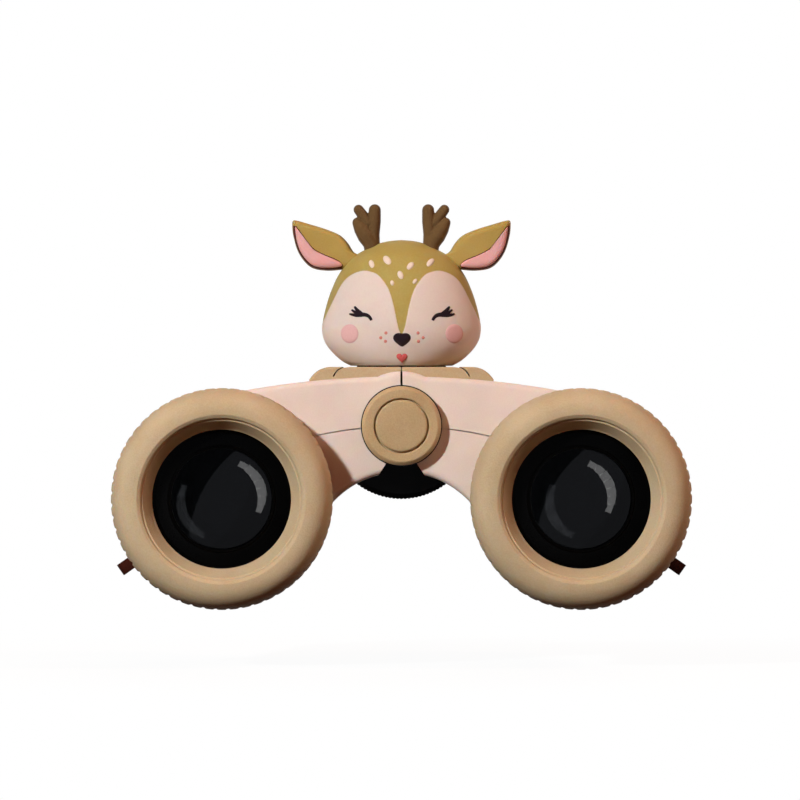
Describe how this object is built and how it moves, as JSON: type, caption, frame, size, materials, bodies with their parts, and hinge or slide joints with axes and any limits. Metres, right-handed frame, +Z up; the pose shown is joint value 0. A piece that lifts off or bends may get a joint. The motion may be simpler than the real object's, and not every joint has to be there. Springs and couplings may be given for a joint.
{
  "type": "toy binoculars",
  "caption": "Child's folding toy binoculars with bumper rings, a centre focus wheel, eyecups, strap lugs and a fawn's head on the bridge.",
  "frame": {"origin": "under the middle of the part, on the surface that the bumper rings stand on", "axes": "+X to the right as seen from the front lenses, +Y back towards the eyepieces, +Z up"},
  "size_m": [0.1168, 0.094, 0.0821],
  "materials": {
    "pink_shell": "satin soft pink moulding",
    "tan_grip": "matte fine-grained tan elastomer",
    "black_plastic": "black moulding",
    "grey_plastic": "dark grey acetal",
    "steel": "plated steel",
    "lens_glass": "polished and coated",
    "fawn_brown": "matte golden brown and cream",
    "rose": "matte rose",
    "antler_brown": "matte dark brown"
  },
  "bodies": {
    "spine": {"hinge_spine": "grey_plastic", "hinge_shaft": "steel", "front_cap": "tan_grip", "front_cap_disc": "tan_grip", "front_cap_screw": "steel", "shaft_nut": "steel", "head_front_shell": "fawn_brown", "head_rear_shell": "fawn_brown", "left_ear": "fawn_brown", "right_ear": "fawn_brown", "left_ear_lining": "rose", "right_ear_lining": "rose", "left_antler": "antler_brown", "right_antler": "antler_brown", "head_screw": "steel"},
    "left_half": {"left_upper_shell": "pink_shell", "left_lower_shell": "pink_shell", "left_top_pad": "tan_grip", "left_bumper_ring": "tan_grip", "left_objective_cell": "black_plastic", "left_objective_lens": "lens_glass", "left_objective_lock_ring": "black_plastic", "left_prism_cage": "black_plastic", "left_half_penta_prism": "lens_glass", "left_roof_prism": "lens_glass", "left_strap_lug": "pink_shell", "left_shell_screw_1": "steel", "left_shell_screw_2": "steel", "left_eyepiece_tube": "black_plastic", "left_field_lens": "lens_glass", "left_eye_lens": "lens_glass", "left_eyecup": "tan_grip", "left_eyepiece_ring": "pink_shell"},
    "right_half": {"right_upper_shell": "pink_shell", "right_lower_shell": "pink_shell", "right_top_pad": "tan_grip", "right_bumper_ring": "tan_grip", "right_objective_cell": "black_plastic", "right_objective_lens": "lens_glass", "right_objective_lock_ring": "black_plastic", "right_prism_cage": "black_plastic", "right_half_penta_prism": "lens_glass", "right_roof_prism": "lens_glass", "right_strap_lug": "pink_shell", "right_shell_screw_1": "steel", "right_shell_screw_2": "steel"},
    "focus_wheel": {"focus_wheel": "black_plastic"},
    "focus_nut": {"focus_nut": "grey_plastic"},
    "left_carriage": {"left_focus_carriage": "grey_plastic", "left_focus_lens": "lens_glass"},
    "right_carriage": {"right_focus_carriage": "grey_plastic", "right_focus_lens": "lens_glass"},
    "right_diopter": {"right_diopter_ring": "pink_shell"},
    "right_eyepiece": {"right_eyepiece_tube": "black_plastic", "right_field_lens": "lens_glass", "right_eye_lens": "lens_glass", "right_eyecup": "tan_grip"}
  },
  "joints": [
    {"name": "left_fold", "type": "hinge", "parent": "spine", "child": "left_half", "pos_m": [0, 0, 0.037], "axis": [0, -1, 0], "range_deg": [0, 20]},
    {"name": "right_fold", "type": "hinge", "parent": "spine", "child": "right_half", "pos_m": [0, 0, 0.037], "axis": [0, 1, 0], "range_deg": [0, 20]},
    {"name": "focus_turn", "type": "hinge", "parent": "spine", "child": "focus_wheel", "pos_m": [0, 0.0151, 0.037], "axis": [0, 1, 0], "range_deg": [-170, 170]},
    {"name": "focus_nut_slide", "type": "slide", "parent": "spine", "child": "focus_nut", "axis": [0, 1, 0], "range_m": [-0.0012, 0.0012]},
    {"name": "left_focus_slide", "type": "slide", "parent": "left_half", "child": "left_carriage", "axis": [0, 1, 0], "range_m": [-0.0012, 0.0012]},
    {"name": "right_focus_slide", "type": "slide", "parent": "right_half", "child": "right_carriage", "axis": [0, 1, 0], "range_m": [-0.0012, 0.0012]},
    {"name": "right_diopter_turn", "type": "hinge", "parent": "right_half", "child": "right_diopter", "pos_m": [0.0361, 0.0305, 0.0223], "axis": [0, 1, 0], "range_deg": [-50, 50]},
    {"name": "right_eyepiece_slide", "type": "slide", "parent": "right_half", "child": "right_eyepiece", "axis": [0, 1, 0], "range_m": [-0.0006, 0.0006]}
  ],
  "couplings": [
    {"joint": "focus_nut_slide", "follows": "focus_turn", "m_per_rad": 0.0004},
    {"joint": "left_focus_slide", "follows": "focus_turn", "m_per_rad": 0.0004},
    {"joint": "right_focus_slide", "follows": "focus_turn", "m_per_rad": 0.0004},
    {"joint": "right_eyepiece_slide", "follows": "right_diopter_turn", "m_per_rad": 0.00064}
  ]
}
